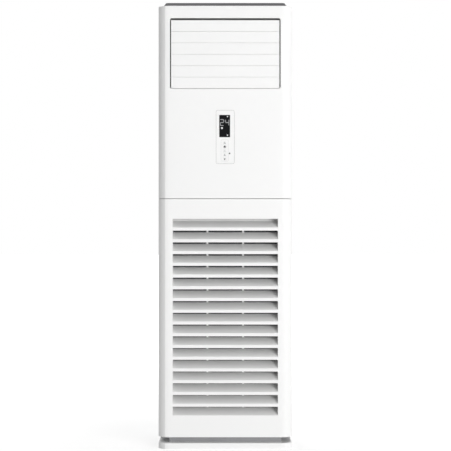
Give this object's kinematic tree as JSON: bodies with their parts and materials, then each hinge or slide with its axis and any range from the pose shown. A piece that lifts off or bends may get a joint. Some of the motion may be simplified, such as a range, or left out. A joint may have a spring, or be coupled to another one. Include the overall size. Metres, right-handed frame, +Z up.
{
  "type": "floor standing air conditioner",
  "caption": "Tall white floor standing air conditioner with a louvred air outlet at the top, a control panel with a dark display, and an inclined-blade intake grille.",
  "frame": {"origin": "on the floor, at the middle of the foot", "axes": "+Z up, -Y is the front with the grille and outlet, +X is the right side seen from the front"},
  "size_m": [0.56, 0.37, 1.8646],
  "materials": {
    "white_panel": "satin powder coat",
    "white_plastic": "fine moulded, satin",
    "cap_grey": "dark grey, fine texture",
    "window_black": "gloss, smoked",
    "key_white": "satin",
    "galvanised": "galvanised sheet",
    "steel": "turned steel",
    "zinc": "zinc plated",
    "duct_foam": "moulded liner",
    "black_plastic": "moulded",
    "impeller_grey": "moulded, glass filled",
    "fins": "bare fins",
    "copper": "drawn copper",
    "brass": "machined",
    "net": "fine net",
    "hose": "flexible hose",
    "board_green": "lacquered board",
    "motor_paint": "enamel",
    "frame_grey": "grey coat"
  },
  "bodies": {
    "cabinet": {"base_plate": "galvanised", "plinth_trim": "white_plastic", "cabinet_frame": "frame_grey", "left_side_panel": "white_panel", "right_side_panel": "white_panel", "rear_panel": "galvanised", "top_cap": "cap_grey", "upper_front_panel": "white_plastic", "panel_screws": "zinc", "anti_tip_bracket": "zinc", "cable_gland": "black_plastic", "control_bezel": "white_plastic", "display_window": "window_black", "display_board": "board_green", "outlet_duct": "duct_foam", "louver_motor": "motor_paint", "vane_motor": "motor_paint", "bell_mouth": "galvanised", "volute_casing": "galvanised", "fan_motor": "motor_paint", "motor_bracket": "galvanised", "fan_deck": "galvanised", "evaporator_fins": "fins", "evaporator_plates": "galvanised", "evaporator_tubes": "copper", "suction_pipe": "copper", "liquid_pipe": "copper", "gas_union": "brass", "liquid_union": "brass", "drain_pan": "galvanised", "drain_hose": "hose", "electrical_box": "galvanised", "control_board": "board_green", "terminal_block": "black_plastic"},
    "grille": {"intake_grille": "white_plastic"},
    "left_air_filter": {"left_air_filter": "net"},
    "centre_air_filter": {"centre_air_filter": "net"},
    "right_air_filter": {"right_air_filter": "net"},
    "louver_1": {"louver_1": "white_plastic"},
    "louver_2": {"louver_2": "white_plastic"},
    "louver_3": {"louver_3": "white_plastic"},
    "louver_4": {"louver_4": "white_plastic"},
    "louver_5": {"louver_5": "white_plastic"},
    "louver_6": {"louver_6": "white_plastic"},
    "vane_1": {"vane_1": "white_plastic"},
    "vane_2": {"vane_2": "white_plastic"},
    "vane_3": {"vane_3": "white_plastic"},
    "vane_4": {"vane_4": "white_plastic"},
    "vane_5": {"vane_5": "white_plastic"},
    "vane_6": {"vane_6": "white_plastic"},
    "power_key": {"power_key": "key_white"},
    "mode_key": {"mode_key": "key_white"},
    "fan_key": {"fan_key": "key_white"},
    "up_key": {"up_key": "key_white"},
    "down_key": {"down_key": "key_white"},
    "louver_link": {"louver_link": "black_plastic"},
    "vane_link": {"vane_link": "black_plastic"},
    "fan": {"impeller": "impeller_grey", "motor_shaft": "steel", "impeller_nut": "zinc"}
  },
  "joints": [
    {"name": "grille_tilt", "type": "hinge", "parent": "cabinet", "child": "grille", "pos_m": [0, -0.1765, 0.0585], "axis": [1, 0, 0], "range_deg": [0, 35]},
    {"name": "fan_spin", "type": "hinge", "parent": "cabinet", "child": "fan", "pos_m": [-0.031, 0.0551, 0.54], "axis": [0, -1, 0], "continuous": true},
    {"name": "left_air_filter_lift", "type": "slide", "parent": "grille", "child": "left_air_filter", "axis": [0, 0, 1], "range_m": [0, 0.04]},
    {"name": "centre_air_filter_lift", "type": "slide", "parent": "grille", "child": "centre_air_filter", "axis": [0, 0, 1], "range_m": [0, 0.04]},
    {"name": "right_air_filter_lift", "type": "slide", "parent": "grille", "child": "right_air_filter", "axis": [0, 0, 1], "range_m": [0, 0.04]},
    {"name": "louver_1_swing", "type": "hinge", "parent": "cabinet", "child": "louver_1", "pos_m": [0, -0.17495, 1.7685], "axis": [-1, 0, 0], "range_deg": [0, 90]},
    {"name": "louver_2_swing", "type": "hinge", "parent": "cabinet", "child": "louver_2", "pos_m": [0, -0.17495, 1.7209], "axis": [-1, 0, 0], "range_deg": [0, 90]},
    {"name": "louver_3_swing", "type": "hinge", "parent": "cabinet", "child": "louver_3", "pos_m": [0, -0.17495, 1.6733], "axis": [-1, 0, 0], "range_deg": [0, 90]},
    {"name": "louver_4_swing", "type": "hinge", "parent": "cabinet", "child": "louver_4", "pos_m": [0, -0.17495, 1.6257], "axis": [-1, 0, 0], "range_deg": [0, 90]},
    {"name": "louver_5_swing", "type": "hinge", "parent": "cabinet", "child": "louver_5", "pos_m": [0, -0.17495, 1.5781], "axis": [-1, 0, 0], "range_deg": [0, 90]},
    {"name": "louver_6_swing", "type": "hinge", "parent": "cabinet", "child": "louver_6", "pos_m": [0, -0.17495, 1.5305], "axis": [-1, 0, 0], "range_deg": [0, 90]},
    {"name": "louver_link_pivot", "type": "hinge", "parent": "louver_1", "child": "louver_link", "pos_m": [-0.2379, -0.16505, 1.7784], "axis": [-1, 0, 0], "range_deg": [-90, 0]},
    {"name": "vane_1_swing", "type": "hinge", "parent": "cabinet", "child": "vane_1", "pos_m": [-0.1925, -0.111, 1.5054], "axis": [0, 0, 1], "range_deg": [-40, 40]},
    {"name": "vane_2_swing", "type": "hinge", "parent": "cabinet", "child": "vane_2", "pos_m": [-0.1155, -0.111, 1.5054], "axis": [0, 0, 1], "range_deg": [-40, 40]},
    {"name": "vane_3_swing", "type": "hinge", "parent": "cabinet", "child": "vane_3", "pos_m": [-0.0385, -0.111, 1.5054], "axis": [0, 0, 1], "range_deg": [-40, 40]},
    {"name": "vane_4_swing", "type": "hinge", "parent": "cabinet", "child": "vane_4", "pos_m": [0.0385, -0.111, 1.5054], "axis": [0, 0, 1], "range_deg": [-40, 40]},
    {"name": "vane_5_swing", "type": "hinge", "parent": "cabinet", "child": "vane_5", "pos_m": [0.1155, -0.111, 1.5054], "axis": [0, 0, 1], "range_deg": [-40, 40]},
    {"name": "vane_6_swing", "type": "hinge", "parent": "cabinet", "child": "vane_6", "pos_m": [0.1925, -0.111, 1.5054], "axis": [0, 0, 1], "range_deg": [-40, 40]},
    {"name": "vane_link_pivot", "type": "hinge", "parent": "vane_1", "child": "vane_link", "pos_m": [-0.1925, -0.097, 1.4985], "axis": [0, 0, 1], "range_deg": [-40, 40]},
    {"name": "power_key_press", "type": "slide", "parent": "cabinet", "child": "power_key", "axis": [0, 1, 0], "range_m": [0, 0.0008], "stiffness_N_per_m": 400, "springref_m": -0.002},
    {"name": "mode_key_press", "type": "slide", "parent": "cabinet", "child": "mode_key", "axis": [0, 1, 0], "range_m": [0, 0.0008], "stiffness_N_per_m": 400, "springref_m": -0.002},
    {"name": "fan_key_press", "type": "slide", "parent": "cabinet", "child": "fan_key", "axis": [0, 1, 0], "range_m": [0, 0.0008], "stiffness_N_per_m": 400, "springref_m": -0.002},
    {"name": "up_key_press", "type": "slide", "parent": "cabinet", "child": "up_key", "axis": [0, 1, 0], "range_m": [0, 0.0008], "stiffness_N_per_m": 400, "springref_m": -0.002},
    {"name": "down_key_press", "type": "slide", "parent": "cabinet", "child": "down_key", "axis": [0, 1, 0], "range_m": [0, 0.0008], "stiffness_N_per_m": 400, "springref_m": -0.002}
  ],
  "couplings": [
    {"joint": "louver_2_swing", "follows": "louver_1_swing", "ratio": 1},
    {"joint": "louver_3_swing", "follows": "louver_1_swing", "ratio": 1},
    {"joint": "louver_4_swing", "follows": "louver_1_swing", "ratio": 1},
    {"joint": "louver_5_swing", "follows": "louver_1_swing", "ratio": 1},
    {"joint": "louver_6_swing", "follows": "louver_1_swing", "ratio": 1},
    {"joint": "louver_link_pivot", "follows": "louver_1_swing", "ratio": -1},
    {"joint": "vane_2_swing", "follows": "vane_1_swing", "ratio": 1},
    {"joint": "vane_3_swing", "follows": "vane_1_swing", "ratio": 1},
    {"joint": "vane_4_swing", "follows": "vane_1_swing", "ratio": 1},
    {"joint": "vane_5_swing", "follows": "vane_1_swing", "ratio": 1},
    {"joint": "vane_6_swing", "follows": "vane_1_swing", "ratio": 1},
    {"joint": "vane_link_pivot", "follows": "vane_1_swing", "ratio": -1}
  ]
}
